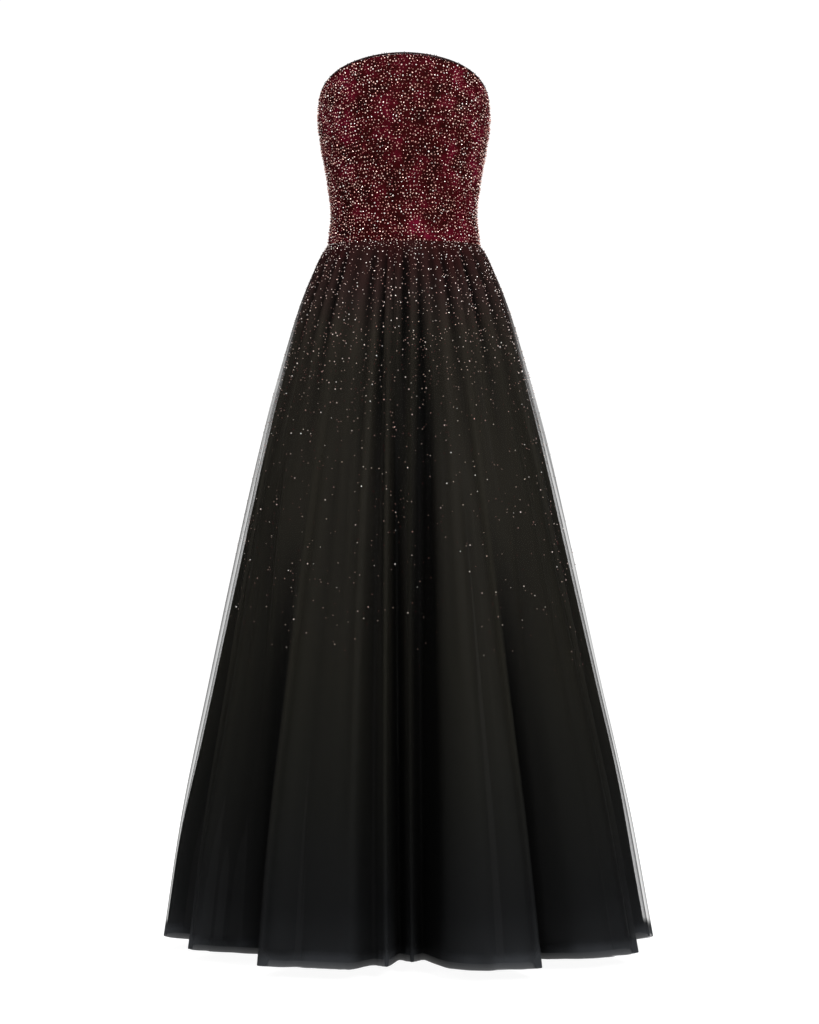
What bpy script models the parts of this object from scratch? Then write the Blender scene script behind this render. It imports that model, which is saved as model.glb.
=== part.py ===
"""Strapless ball gown, filled out as if worn.

Metres, +Z up, the front facing -Y. The origin is the middle of the waist, level with the waist seam.
Left and right are the wearer's, so the wearer's left is at +X.

The gown is a boned bodice of five panels with a bound top edge, an opaque lining skirt, and a sheer
tulle skirt over it. Both skirts are cut as a front and two backs, gathered into the waist seam, and
fall in deep pipe folds. An invisible zip closes the centre back.
"""

import math

import bmesh
import bpy
from mathutils import Matrix, Vector

# Driving sizes
SKIRT_LENGTH = 1.125  # waist seam to the tulle's hem
LINING_LIFT = 0.009  # the lining ends this far above the tulle's hem
TOP_FRONT = 0.2945  # waist seam to the top edge at the centre front, under the binding
TOP_SIDE = 0.2285
TOP_BACK = 0.222
TOP_CROWN = 1.9  # how flat the top edge runs over the bust before it falls away
BODICE_WALL = 0.0025  # shell, boning and lining sewn as one
LINING_WALL = 0.0012
TULLE_WALL = 0.0012
SEAM_GAP = 0.0003
BINDING_RADIUS = 0.0016

# Outer faces of the bodice, from the waist seam up
# height, half width, front depth, back depth
BODICE_SECTIONS = (
    (0.000, 0.1235, 0.0950, 0.0880),
    (0.050, 0.1185, 0.0915, 0.0850),
    (0.105, 0.1245, 0.0985, 0.0880),
    (0.155, 0.1335, 0.1090, 0.0935),
    (0.205, 0.1395, 0.1165, 0.0975),
    (0.245, 0.1375, 0.1135, 0.0975),
    (0.295, 0.1345, 0.1060, 0.0970),
)
CUP_ANGLE = 36.0  # degrees from the centre front to the fullest point, where the seams run
CUP_SPREAD = 20.0
CUP_HEIGHT = 0.205
CUP_RISE = 0.055
CUP_FULLNESS = 0.007

# Outline of the tulle skirt, measured over the folds, from the waist seam down
# drop, half width, front depth, back depth, distance in to the lining's outer face
SKIRT_SECTIONS = (
    (0.000, 0.1235, 0.0950, 0.0880, 0.0015),
    (0.012, 0.1330, 0.1030, 0.0970, 0.0035),
    (0.040, 0.1465, 0.1130, 0.1120, 0.0055),
    (0.095, 0.1690, 0.1310, 0.1360, 0.0075),
    (0.180, 0.1956, 0.1560, 0.1660, 0.0090),
    (0.310, 0.2321, 0.1880, 0.2020, 0.0105),
    (0.490, 0.2733, 0.2250, 0.2430, 0.0115),
    (0.710, 0.3215, 0.2690, 0.2890, 0.0105),
    (0.930, 0.3690, 0.3070, 0.3300, 0.0095),
    (SKIRT_LENGTH, 0.4015, 0.3310, 0.3560, 0.0090),
)
TULLE_DROPS = [section[0] for section in SKIRT_SECTIONS]
LINING_DROPS = [*TULLE_DROPS[:-1], SKIRT_LENGTH - LINING_LIFT]
HEM_LEAN = 0.0075  # the hem hangs this far towards the wearer's left
LEAN_STARTS = 3  # power of the drop that the lean grows with, so that only the lower skirt leans

# Folds of both skirts, round from the centre back by the wearer's right and the front
# angle at the waist, angle at the hem, reach at the hem as a share of the outline, drop where it starts
FOLDS = (
    (-180.0, -180.0, 0.90, 0.15),
    (-172.0, -170.0, 1.00, 0.15),
    (-163.0, -158.0, 0.96, 0.15),
    (-154.0, -148.0, 1.00, 0.20),
    (-146.0, -139.0, 0.78, 0.30),
    (-138.0, -131.0, 0.92, 0.30),
    (-129.0, -122.0, 1.00, 0.30),
    (-119.0, -112.0, 0.80, 0.35),
    (-109.0, -103.0, 0.93, 0.30),
    (-92.0, -92.0, 1.00, 0.20),
    (-79.0, -80.0, 0.85, 0.35),
    (-68.0, -67.5, 0.94, 0.30),
    (-58.0, -60.0, 0.88, 0.30),
    (-50.0, -51.0, 0.79, 0.45),
    (-43.0, -43.5, 0.74, 0.45),
    (-34.5, -34.5, 1.00, 0.40),
    (-25.5, -22.0, 0.955, 0.12),
    (-18.5, -14.0, 0.95, 0.30),
    (-12.5, -9.5, 0.82, 0.05),
    (-8.0, -5.7, 0.85, 0.05),
    (-3.6, -2.9, 0.67, 0.03),
    (3.5, 1.1, 0.72, 0.03),
    (10.5, 5.0, 0.67, 0.03),
    (17.0, 9.8, 0.90, 0.05),
    (23.0, 18.0, 1.00, 0.20),
    (29.0, 29.5, 1.015, 0.30),
    (35.5, 35.0, 0.76, 0.45),
    (41.0, 40.5, 0.85, 0.45),
    (50.0, 52.0, 0.97, 0.30),
    (61.0, 62.5, 1.01, 0.20),
    (73.0, 77.0, 0.85, 0.25),
    (90.0, 92.0, 1.00, 0.20),
    (103.0, 104.0, 0.92, 0.30),
    (113.0, 113.0, 0.80, 0.35),
    (123.0, 123.0, 1.00, 0.30),
    (132.0, 132.0, 0.93, 0.30),
    (141.0, 140.0, 0.78, 0.30),
    (152.0, 150.0, 1.00, 0.20),
    (163.0, 160.0, 0.97, 0.15),
    (172.0, 170.5, 1.00, 0.15),
)
COLUMNS_PER_FOLD_ROW = 3
FOLD_DRIFT = 0.6  # power of the drop that a fold moves round with, from its place at the waist
RIGHT_SIDE_ROW = 9  # the rows of FOLDS that the side seams follow
LEFT_SIDE_ROW = 31

# Gathers at the waist: one for every four columns, deepest a little below the seam
COLUMNS_PER_GATHER = 4
GATHER_UNEVEN = 0.25
GATHER_TURN = 2.4  # radians from one gather to the next in the wave that makes them uneven
GATHER_DEPTH = (
    # drop, depth as a share of the outline
    (0.000, 0.000),
    (0.012, 0.020),
    (0.040, 0.045),
    (0.095, 0.050),
    (0.180, 0.040),
    (0.310, 0.018),
    (0.490, 0.000),
    (SKIRT_LENGTH, 0.000),
)

# Invisible zip at the centre back
ZIP_END_DROP = 0.18  # its lower end, below the waist seam
COIL_RADIUS = 0.0012
SLIDER_DROP = 0.0065  # middle of the slider, below the top edge
SLIDER_WIDTH = 0.0052
SLIDER_DEPTH = 0.0026
SLIDER_HEIGHT = 0.0090
NECK_WIDTH = 0.0014
NECK_HEIGHT = 0.0030
NECK_PROUD = 0.0008  # the neck comes this far out of the back, into the bail
NOTCH_WIDTH = 0.0040  # the back panels part by this much at the top, for the slider's neck
BAIL_RADIUS = 0.0018
BAIL_WIRE = 0.00045
TAB_LENGTH = 0.022
TAB_WIDTH = 0.0048
TAB_THICKNESS = 0.0009
TAB_ARC_STEPS = 8
TAB_WINDOW = (0.0026, 0.0030)  # width and length of the window that the bail passes through
PIN_OFFSET = 0.0026  # pull tab's axis, outside the back's outer face

BACK = math.pi


def smooth_curve(xs, ys):
    """A curve through the points that never overshoots them: monotone cubic pieces."""
    steps = [b - a for a, b in zip(xs, xs[1:])]
    slopes = [(b - a) / s for a, b, s in zip(ys, ys[1:], steps)]
    tangents = [slopes[0]]
    for before, after in zip(slopes, slopes[1:]):
        same_way = before * after > 0
        tangents.append(2 * before * after / (before + after) if same_way else 0.0)
    tangents.append(slopes[-1])

    def value(x):
        x = min(max(x, xs[0]), xs[-1])
        i = max(k for k in range(len(steps)) if xs[k] <= x)
        t = (x - xs[i]) / steps[i]
        rise = ys[i + 1] - ys[i]
        start = steps[i] * tangents[i]
        end = steps[i] * tangents[i + 1]
        return ys[i] + t * start + t * t * (3 * rise - 2 * start - end) + t**3 * (start + end - 2 * rise)

    return value


def columns_of(table):
    """One smooth curve for each column of a table after its first, which is the place along it."""
    places, *values = zip(*table)
    return [smooth_curve(places, column) for column in values]


def closed_curve(values, turn=0.0):
    """A smooth curve through values at 0, 1, 2 and so on, which comes round again, plus turn each time."""
    wrapped = [values[-1] - turn, *values, values[0] + turn, values[1] + turn]
    return smooth_curve(list(range(-1, len(values) + 2)), wrapped)


bodice_half_width, bodice_front, bodice_back = columns_of(BODICE_SECTIONS)
skirt_half_width, skirt_front, skirt_back, lining_inset = columns_of(SKIRT_SECTIONS)
(gather_depth,) = columns_of(GATHER_DEPTH)
waist_angle = closed_curve([row[0] for row in FOLDS], turn=360.0)
hem_angle = closed_curve([row[1] for row in FOLDS], turn=360.0)
hem_reach = closed_curve([row[2] for row in FOLDS])
fold_start = closed_curve([row[3] for row in FOLDS])


def top_edge(angle):
    """Height of the bodice's top edge: a crown at the centre front that falls to the sides and back."""
    turn = abs(math.degrees(math.remainder(angle, 2 * math.pi))) / 90
    if turn <= 1:
        return TOP_FRONT - (TOP_FRONT - TOP_SIDE) * turn**TOP_CROWN
    return TOP_SIDE - (TOP_SIDE - TOP_BACK) * math.sin((turn - 1) * math.pi / 2)


def bodice_point(angle, height):
    """A point of the bodice's outer face."""
    front = math.cos(angle) > 0
    depth = bodice_front(height) if front else bodice_back(height)
    point = Vector((bodice_half_width(height) * math.sin(angle), -depth * math.cos(angle), height))
    aside = (math.degrees(abs(math.remainder(angle, 2 * math.pi))) - CUP_ANGLE) / CUP_SPREAD
    above = (height - CUP_HEIGHT) / CUP_RISE
    outward = Vector((point.x, point.y, 0)).normalized()
    return point + outward * CUP_FULLNESS * math.exp(-aside * aside - above * above)


def fold_reach(row, drop):
    """How far out the tulle stands at that place round the skirt, as a share of the outline."""
    start = fold_start(row)
    grown = max(0.0, drop - start) / (SKIRT_LENGTH - start)
    fold = (1 - hem_reach(row)) * math.sin(grown * math.pi / 2)
    gather = row * COLUMNS_PER_FOLD_ROW / COLUMNS_PER_GATHER
    uneven = 1 - GATHER_UNEVEN * (1 + math.sin(GATHER_TURN * math.floor(gather)))
    pleat = 0.5 - 0.5 * math.cos(2 * math.pi * gather)
    return 1 - fold - gather_depth(drop) * uneven * pleat


def skirt_point(row, drop, inset=0.0):
    """A point of the skirt, at a place along FOLDS and a drop below the waist seam."""
    fallen = (drop / SKIRT_LENGTH) ** FOLD_DRIFT
    angle = math.radians(waist_angle(row) + (hem_angle(row) - waist_angle(row)) * fallen)
    depth = skirt_front(drop) if math.cos(angle) > 0 else skirt_back(drop)
    reach = fold_reach(row, drop)
    flat = Vector((reach * skirt_half_width(drop) * math.sin(angle), -reach * depth * math.cos(angle)))
    flat *= 1 - inset / flat.length
    lean = HEM_LEAN * (drop / SKIRT_LENGTH) ** LEAN_STARTS
    return Vector((flat.x + lean, flat.y, -drop))


def lining_point(row, drop):
    """A point of the lining's outer face, inside the tulle."""
    return skirt_point(row, drop, lining_inset(drop))


def material(name, color, roughness, metallic=0.0, alpha=1.0):
    made = bpy.data.materials.new(name)
    made.use_nodes = True
    shader = made.node_tree.nodes["Principled BSDF"]
    shader.inputs["Base Color"].default_value = (*color, 1.0)
    shader.inputs["Roughness"].default_value = roughness
    shader.inputs["Metallic"].default_value = metallic
    shader.inputs["Alpha"].default_value = alpha
    return made


def add_object(name, data, finish):
    made = bpy.data.objects.new(name, data)
    data.materials.append(finish)
    gown.objects.link(made)
    return made


def with_frame(surface, step=0.01):
    """The surface with, at each point, the level way along it and the level way out of it."""

    def point_and_frame(place, height):
        point = surface(place, height)
        along = surface(place + step, height) - surface(place - step, height)
        along.z = 0
        along.normalize()
        return point, along, along.cross(Vector((0, 0, 1)))

    return point_and_frame


def cloth_panel(name, surface, places, heights, wall, gaps, finish):
    """A wall of cloth under its outer face, surface(place, height), with half a seam left at each side.

    places run to the wearer's left across the front, heights from the top down, and gaps has the
    width of the first and the last seam in each row.
    """
    outer, inner = [], []
    for height, (first_gap, last_gap) in zip(heights, gaps):
        outer_row, inner_row = [], []
        for i, place in enumerate(places):
            point, along, outward = surface(place, height)
            if i == 0:
                point = point + along * first_gap / 2
            if i == len(places) - 1:
                point = point - along * last_gap / 2
            outer_row.append(point)
            inner_row.append(point - outward * wall)
        outer.append(outer_row)
        inner.append(inner_row)

    shape = bmesh.new()
    last = len(places) - 1
    loops = []
    for outer_row, inner_row in zip(outer, inner):
        loops.append([shape.verts.new(p) for p in outer_row + inner_row[::-1]])
    # Each face splits along its first corner's diagonal. The inner faces run the other way round, so they
    # start a corner later: both sides of a twisted wall then bend along the same line.
    for upper, lower in zip(loops, loops[1:]):
        for i in range(len(upper)):
            j = (i + 1) % len(upper)
            corners = (upper[i], lower[i], lower[j], upper[j])
            shape.faces.new(corners if i <= last else corners[1:] + corners[:1])
    for loop, top in ((loops[0], True), (loops[-1], False)):
        for i in range(last):
            corners = (loop[i], loop[i + 1], loop[-2 - i], loop[-1 - i])
            shape.faces.new(corners if top else corners[::-1])
    mesh = bpy.data.meshes.new(name)
    shape.to_mesh(mesh)
    shape.free()
    mesh.shade_smooth()
    return add_object(name, mesh, finish)


def round_bar(name, points, radius, finish, resolution=1):
    """A round bar along a line of points, with closed ends."""
    curve = bpy.data.curves.new(name, "CURVE")
    curve.dimensions = "3D"
    curve.bevel_depth = radius
    curve.bevel_resolution = resolution
    curve.use_fill_caps = True
    line = curve.splines.new("POLY")
    line.points.add(len(points) - 1)
    for target, point in zip(line.points, points):
        target.co = (*point, 1)
    return add_object(name, curve, finish)


# Bodice: centre front, two side fronts and two backs, joined by seams over the cups and at the sides
BODICE_STEP = 6  # degrees between columns of points
BODICE_ROWS = (1.0, 0.93, 0.82, 0.70, 0.57, 0.42, 0.22, 0.0)  # shares of the way up to the top edge
BODICE_PANELS = (
    # name, first angle, last angle
    ("bodice_side_front_right", -90, -36),
    ("bodice_centre_front", -36, 36),
    ("bodice_side_front_left", 36, 90),
    ("bodice_back_left", 90, 180),
    ("bodice_back_right", -180, -90),
)


def bodice_surface(angle, share):
    """The bodice's outer face, by angle and by share of the way up to the top edge."""
    return with_frame(lambda a, part: bodice_point(a, part * top_edge(a)))(angle, share)


def bodice_panel(name, first, last, finish):
    places = [math.radians(a) for a in range(first, last + 1, BODICE_STEP)]
    notch = [NOTCH_WIDTH] + [SEAM_GAP] * (len(BODICE_ROWS) - 1)
    seam = [SEAM_GAP] * len(BODICE_ROWS)
    gaps = list(zip(notch if first == -180 else seam, notch if last == 180 else seam))
    return cloth_panel(name, bodice_surface, places, BODICE_ROWS, BODICE_WALL, gaps, finish)


def top_binding(finish):
    """The narrow binding on the top edge, open at the zip."""
    points = []
    for turn in range(-180, 181, BODICE_STEP):
        point, _, outward = bodice_surface(math.radians(turn), 1.0)
        before, _, _ = bodice_surface(math.radians(turn - BODICE_STEP / 2), 1.0)
        after, _, _ = bodice_surface(math.radians(turn + BODICE_STEP / 2), 1.0)
        up = outward.cross(after - before).normalized()
        points.append(point - outward * BODICE_WALL / 2 + up * (SEAM_GAP + BINDING_RADIUS))
    for end, beside in ((0, 1), (-1, -2)):
        points[end] = points[end] + (points[beside] - points[end]).normalized() * NOTCH_WIDTH / 2
    return round_bar("top_binding", points, BINDING_RADIUS, finish)


# Skirts: a front and two backs each, from the waist seam to the hem
def skirt_panels(label, point_at, drops, wall, finish):
    def below_seam(place, drop):
        point = point_at(place, drop)
        point.z -= SEAM_GAP * (1 - drop / drops[-1])
        return point

    split = {
        f"{label}_back_right": (0, RIGHT_SIDE_ROW),
        f"{label}_front": (RIGHT_SIDE_ROW, LEFT_SIDE_ROW),
        f"{label}_back_left": (LEFT_SIDE_ROW, len(FOLDS)),
    }
    gaps = [(SEAM_GAP, SEAM_GAP)] * len(drops)
    for name, (first, last) in split.items():
        count = (last - first) * COLUMNS_PER_FOLD_ROW
        places = [first + i / COLUMNS_PER_FOLD_ROW for i in range(count + 1)]
        cloth_panel(name, with_frame(below_seam), places, drops, wall, gaps, finish)


# Zip: the coil inside the centre back, its slider under the top edge, and the pull tab outside
def zip_coil(finish):
    """The coil, as one bar along the inner faces of the backs, from under the slider past the waist."""
    points = []
    for share in BODICE_ROWS[1:-1]:
        point, _, outward = bodice_surface(BACK, share)
        points.append(point - outward * (BODICE_WALL + SEAM_GAP + COIL_RADIUS))
    for drop in LINING_DROPS:
        if drop > ZIP_END_DROP:
            break
        point, _, outward = with_frame(lining_point)(0, drop)
        # Twice the gap, because the coil slants with the skirt and so reaches further out
        points.append(point - outward * (LINING_WALL + 2 * SEAM_GAP + COIL_RADIUS))
    return round_bar("zip_coil", points, COIL_RADIUS, finish)


def box(name, size, centre, finish):
    bpy.ops.mesh.primitive_cube_add(size=1, location=centre)
    made = bpy.context.object
    made.name = name
    made.scale = size
    bpy.ops.object.transform_apply(location=False, rotation=False, scale=True)
    for collection in list(made.users_collection):
        collection.objects.unlink(made)
    gown.objects.link(made)
    made.data.materials.append(finish)
    return made


def join_to(body, piece):
    """Adds a helper's shape to the body with a Boolean union."""
    union = body.modifiers.new("join " + piece.name, "BOOLEAN")
    union.operation = "UNION"
    union.object = piece
    for collection in list(piece.users_collection):
        collection.objects.unlink(piece)
    helpers.objects.link(piece)
    piece.hide_render = True
    piece.display_type = "WIRE"


def zip_slider(finish):
    """The slider: a body inside the back, a neck through the notch, and a bail outside for the pull."""
    height = TOP_BACK - SLIDER_DROP
    outer = bodice_point(BACK, height).y
    inside = outer - BODICE_WALL - SEAM_GAP - SLIDER_DEPTH / 2
    body = box("zip_slider", (SLIDER_WIDTH, SLIDER_DEPTH, SLIDER_HEIGHT), (0, inside, height), finish)
    neck_depth = outer + NECK_PROUD - inside
    neck_middle = (outer + NECK_PROUD + inside) / 2
    top_height = height + (SLIDER_HEIGHT - NECK_HEIGHT) / 2
    neck = box("slider_neck", (NECK_WIDTH, neck_depth, NECK_HEIGHT), (0, neck_middle, top_height), finish)
    join_to(body, neck)
    bpy.ops.mesh.primitive_torus_add(
        major_radius=BAIL_RADIUS,
        minor_radius=BAIL_WIRE,
        major_segments=20,
        minor_segments=8,
        location=(0, outer + PIN_OFFSET, top_height),
        rotation=(0, math.pi / 2, 0),
    )
    bail = bpy.context.object
    bail.name = "slider_bail"
    join_to(body, bail)
    return body


def zip_pull(finish):
    """The pull tab: a drop-shaped plate hanging from its top bar, which turns in the slider's bail."""
    height = TOP_BACK - SLIDER_DROP + (SLIDER_HEIGHT - NECK_HEIGHT) / 2
    outer = bodice_point(BACK, height).y
    axis = Vector((0, outer + PIN_OFFSET, height))
    half, (window, opening) = TAB_WIDTH / 2, TAB_WINDOW
    bar = TAB_THICKNESS / 2
    outline = [(-half, bar), (half, bar)]
    for i in range(TAB_ARC_STEPS + 1):
        turn = math.pi * i / TAB_ARC_STEPS
        outline.append((half * math.cos(turn), -(TAB_LENGTH - half) - half * math.sin(turn)))
    side, foot = window / 2, -bar - opening
    hole = [(-side, -bar), (side, -bar), (side, foot), (-side, foot)]
    curve = bpy.data.curves.new("zip_pull", "CURVE")
    curve.dimensions = "2D"
    curve.fill_mode = "BOTH"
    curve.extrude = TAB_THICKNESS / 2
    for loop in (outline, hole):
        line = curve.splines.new("POLY")
        line.points.add(len(loop) - 1)
        line.use_cyclic_u = True
        for target, (across, along) in zip(line.points, loop):
            target.co = (across, along, 0, 1)
    tab = add_object("zip_pull", curve, finish)
    tab.matrix_world = Matrix.Translation(axis) @ Matrix.Rotation(math.pi / 2, 4, "X")
    return tab


for old in list(bpy.data.objects):
    bpy.data.objects.remove(old)
gown = bpy.data.collections.new("ball_gown")
helpers = bpy.data.collections.new("helpers")
for group in (gown, helpers):
    bpy.context.scene.collection.children.link(group)

beaded_cloth = material("beaded_cloth", (0.10, 0.012, 0.022), 0.45)
binding_satin = material("binding_satin", (0.02, 0.008, 0.010), 0.5)
lining_satin = material("lining_satin", (0.018, 0.017, 0.015), 0.55)
tulle = material("tulle", (0.022, 0.022, 0.024), 0.8, alpha=0.45)
zip_nylon = material("zip_nylon", (0.03, 0.008, 0.012), 0.5)
zip_metal = material("zip_metal", (0.06, 0.02, 0.025), 0.35, metallic=0.6)

for panel_name, start_angle, end_angle in BODICE_PANELS:
    bodice_panel(panel_name, start_angle, end_angle, beaded_cloth)
top_binding(binding_satin)

skirt_panels("tulle", skirt_point, TULLE_DROPS, TULLE_WALL, tulle)
skirt_panels("lining", lining_point, LINING_DROPS, LINING_WALL, lining_satin)

zip_coil(zip_nylon)
zip_slider(zip_metal)
zip_pull(zip_metal)
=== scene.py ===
"""Strapless ball gown, filled out as if worn: beaded bodice, sheer tulle skirt over an opaque lining.

Metres, +Z up, the front facing -Y, the origin at the middle of the waist. Left and right are the
wearer's, so the wearer's left is at +X.
"""

import math

import bpy
import numpy as np
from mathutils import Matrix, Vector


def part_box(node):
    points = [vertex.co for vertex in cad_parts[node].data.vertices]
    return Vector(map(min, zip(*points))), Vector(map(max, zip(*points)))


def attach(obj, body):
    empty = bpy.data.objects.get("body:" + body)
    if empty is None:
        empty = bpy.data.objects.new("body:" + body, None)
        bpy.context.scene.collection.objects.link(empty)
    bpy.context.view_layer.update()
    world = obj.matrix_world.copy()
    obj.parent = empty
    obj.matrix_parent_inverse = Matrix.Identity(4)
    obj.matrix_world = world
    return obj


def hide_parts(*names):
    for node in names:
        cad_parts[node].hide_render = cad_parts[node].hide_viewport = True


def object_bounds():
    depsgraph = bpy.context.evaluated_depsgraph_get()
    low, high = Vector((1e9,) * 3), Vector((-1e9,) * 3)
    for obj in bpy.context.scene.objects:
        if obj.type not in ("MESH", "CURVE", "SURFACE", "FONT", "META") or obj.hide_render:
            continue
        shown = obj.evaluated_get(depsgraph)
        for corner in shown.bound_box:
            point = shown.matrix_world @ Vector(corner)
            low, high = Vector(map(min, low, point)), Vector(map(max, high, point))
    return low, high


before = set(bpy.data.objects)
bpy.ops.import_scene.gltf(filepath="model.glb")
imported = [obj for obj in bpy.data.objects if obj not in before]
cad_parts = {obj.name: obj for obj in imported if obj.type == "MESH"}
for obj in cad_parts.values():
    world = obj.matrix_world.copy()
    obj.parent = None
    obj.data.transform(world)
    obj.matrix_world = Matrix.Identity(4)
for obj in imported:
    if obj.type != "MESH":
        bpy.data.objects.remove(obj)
cad_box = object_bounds()

# Bodice shell
# Five boned panels of burgundy satin under beaded tulle, cut with seams over the bust and at the sides,
# with the satin's own face turned to the inside. Each panel is one closed shell, sewn to its neighbours.
WAIST_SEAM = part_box("bodice_centre_front")[0].z
TOP_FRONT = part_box("bodice_centre_front")[1].z
TOP_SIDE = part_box("bodice_back_left")[1].z
BACK_DIPS = 0.0065
TOP_BACK = TOP_SIDE - BACK_DIPS
TOP_CROWN = 1.9  # power of the fall from the crown to the sides
BODICE_WALL = 0.0022
SEAM_GAP = 0.0003
NOTCH_WIDTH = 0.0040
BODICE_SECTIONS = (
    # height, half width, front depth, back depth
    (0.000, 0.1235, 0.0950, 0.0880),
    (0.050, 0.1185, 0.0915, 0.0850),
    (0.105, 0.1245, 0.0985, 0.0880),
    (0.155, 0.1335, 0.1090, 0.0935),
    (0.205, 0.1395, 0.1165, 0.0975),
    (0.245, 0.1375, 0.1135, 0.0975),
    (0.295, 0.1345, 0.1060, 0.0970),
)
CUP_ANGLE, CUP_SPREAD = 36.0, 20.0  # degrees to either side of the front, and how far the cups reach
CUP_HEIGHT, CUP_RISE, CUP_FULLNESS = 0.205, 0.055, 0.007
BODICE_PANELS = (
    # name, first angle, last angle, width, length and area of the cut
    ("side_front_right", -90, -36, 0.130, 0.290, 0.0280),
    ("centre_front", -36, 36, 0.180, 0.305, 0.0480),
    ("side_front_left", 36, 90, 0.130, 0.290, 0.0280),
    ("back_left", 90, 180, 0.195, 0.235, 0.0390),
    ("back_right", -180, -90, 0.195, 0.235, 0.0390),
)


def smooth_curve(xs, ys):
    """A curve through the points that never overshoots them, for arrays of places."""
    xs, ys = np.asarray(xs, float), np.asarray(ys, float)
    steps = np.diff(xs)
    slopes = np.diff(ys) / steps
    before, after = slopes[:-1], slopes[1:]
    both = np.where(before * after > 0, before + after, 1.0)
    inner = np.where(before * after > 0, 2 * before * after / both, 0.0)
    tangents = np.concatenate([slopes[:1], inner, slopes[-1:]])

    def value(x):
        x = np.clip(x, xs[0], xs[-1])
        i = np.clip(np.searchsorted(xs, x, side="right") - 1, 0, len(steps) - 1)
        t = (x - xs[i]) / steps[i]
        rise = ys[i + 1] - ys[i]
        start, end = steps[i] * tangents[i], steps[i] * tangents[i + 1]
        bend = t * t * (3 * rise - 2 * start - end) + t**3 * (start + end - 2 * rise)
        return ys[i] + t * start + bend

    return value


def columns_of(table):
    """One smooth curve for each column of a table after its first, which is the place along it."""
    places, *values = zip(*table)
    return [smooth_curve(places, column) for column in values]


bodice_half_width, bodice_front, bodice_back = columns_of(BODICE_SECTIONS)


def top_edge(angle):
    """Height of the top edge: a crown at the centre front that falls to the sides and back."""
    turn = np.abs(np.degrees(np.arctan2(np.sin(angle), np.cos(angle)))) / 90
    front = TOP_FRONT - (TOP_FRONT - TOP_SIDE) * np.minimum(turn, 1) ** TOP_CROWN
    back = TOP_SIDE - (TOP_SIDE - TOP_BACK) * np.sin(np.maximum(turn - 1, 0) * math.pi / 2)
    return np.where(turn <= 1, front, back)


def bodice_point(angle, share):
    """Points of the bodice's outer face, by angle and by share of the way up to the top edge."""
    height = share * top_edge(angle)
    depth = np.where(np.cos(angle) > 0, bodice_front(height), bodice_back(height))
    x = bodice_half_width(height) * np.sin(angle)
    y = -depth * np.cos(angle)
    turn = np.abs(np.degrees(np.arctan2(np.sin(angle), np.cos(angle))))
    aside, above = (turn - CUP_ANGLE) / CUP_SPREAD, (height - CUP_HEIGHT) / CUP_RISE
    fuller = 1 + CUP_FULLNESS * np.exp(-aside * aside - above * above) / np.hypot(x, y)
    return np.stack([x * fuller, y * fuller, height], axis=-1)


def framed(surface, places, heights, step=0.01):
    """A grid of the surface's points, with the level ways along it and out of it at each."""
    u, v = np.meshgrid(places, heights)
    points = surface(u, v)
    along = surface(u + step, v) - surface(u - step, v)
    along[..., 2] = 0
    along /= np.linalg.norm(along, axis=-1, keepdims=True)
    outward = np.cross(along, (0, 0, 1))
    return points, along, outward


RIM_ANGLE = math.radians(60)  # edges turned more than this are the rims of a shell


def cloth_mesh(name, outer, inner=None, uv=None):
    """A sheet through a grid of points, or a closed shell between two grids, rows from the top down."""
    rows, columns = outer.shape[:2]
    index = np.arange(rows * columns).reshape(rows, columns)
    corners = [index[:-1, :-1], index[1:, :-1], index[1:, 1:], index[:-1, 1:]]
    quads = [np.stack(corners, axis=-1).reshape(-1, 4)]
    points = [outer.reshape(-1, 3)]
    if inner is not None:
        far = index + rows * columns
        corners = [far[:-1, :-1], far[:-1, 1:], far[1:, 1:], far[1:, :-1]]
        quads.append(np.stack(corners, axis=-1).reshape(-1, 4))
        points.append(inner.reshape(-1, 3))
        rims = (
            (index[0], far[0]),
            (far[-1], index[-1]),
            (index[::-1, 0], far[::-1, 0]),
            (index[:, -1], far[:, -1]),
        )
        for near_rim, far_rim in rims:
            quads.append(np.stack([near_rim[:-1], near_rim[1:], far_rim[1:], far_rim[:-1]], axis=-1))
    mesh = bpy.data.meshes.new(name)
    mesh.from_pydata(np.concatenate(points).tolist(), [], np.concatenate(quads).tolist())
    if uv is not None:
        layer = mesh.uv_layers.new(name="cloth")
        flat = uv.reshape(-1, 2)
        corner_vertex = np.empty(len(mesh.loops), np.int32)
        mesh.loops.foreach_get("vertex_index", corner_vertex)
        layer.data.foreach_set("uv", flat[corner_vertex % len(flat)].astype(np.float32).ravel())
    mesh.shade_smooth()
    if inner is not None:
        mesh.set_sharp_from_angle(angle=RIM_ANGLE)
    mesh.update()
    return mesh


def piece(name, mesh, *finishes):
    """A new object in the scene, of that mesh and in those materials."""
    made = bpy.data.objects.new(name, mesh)
    for finish in finishes:
        mesh.materials.append(finish)
    bpy.context.scene.collection.objects.link(made)
    return made


def new_finish(name, roughness, metallic=0.0):
    """A new material, its tree of nodes and its shader."""
    made = bpy.data.materials.new(name)
    made.use_nodes = True
    tree = made.node_tree
    shader = tree.nodes["Principled BSDF"]
    shader.inputs["Roughness"].default_value = roughness
    shader.inputs["Metallic"].default_value = metallic
    return made, tree, shader


def add_node(tree, kind, settings=None, **inputs):
    """A new node, each input given a value or wired from an output. _0 is its first input, _1 the next."""
    node = tree.nodes.new(kind)
    for key, value in (settings or {}).items():
        setattr(node, key, value)
    for key, value in inputs.items():
        socket = node.inputs[int(key[1:])] if key[1:].isdigit() else node.inputs[key.replace("_", " ")]
        if isinstance(value, bpy.types.NodeSocket):
            tree.links.new(value, socket)
        else:
            socket.default_value = value
    return node


def reckon(tree, operation, *values, **settings):
    """One step of arithmetic on values or outputs."""
    inputs = {"_" + str(k): value for k, value in enumerate(values)}
    return add_node(tree, "ShaderNodeMath", {"operation": operation, **settings}, **inputs).outputs[0]


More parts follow.
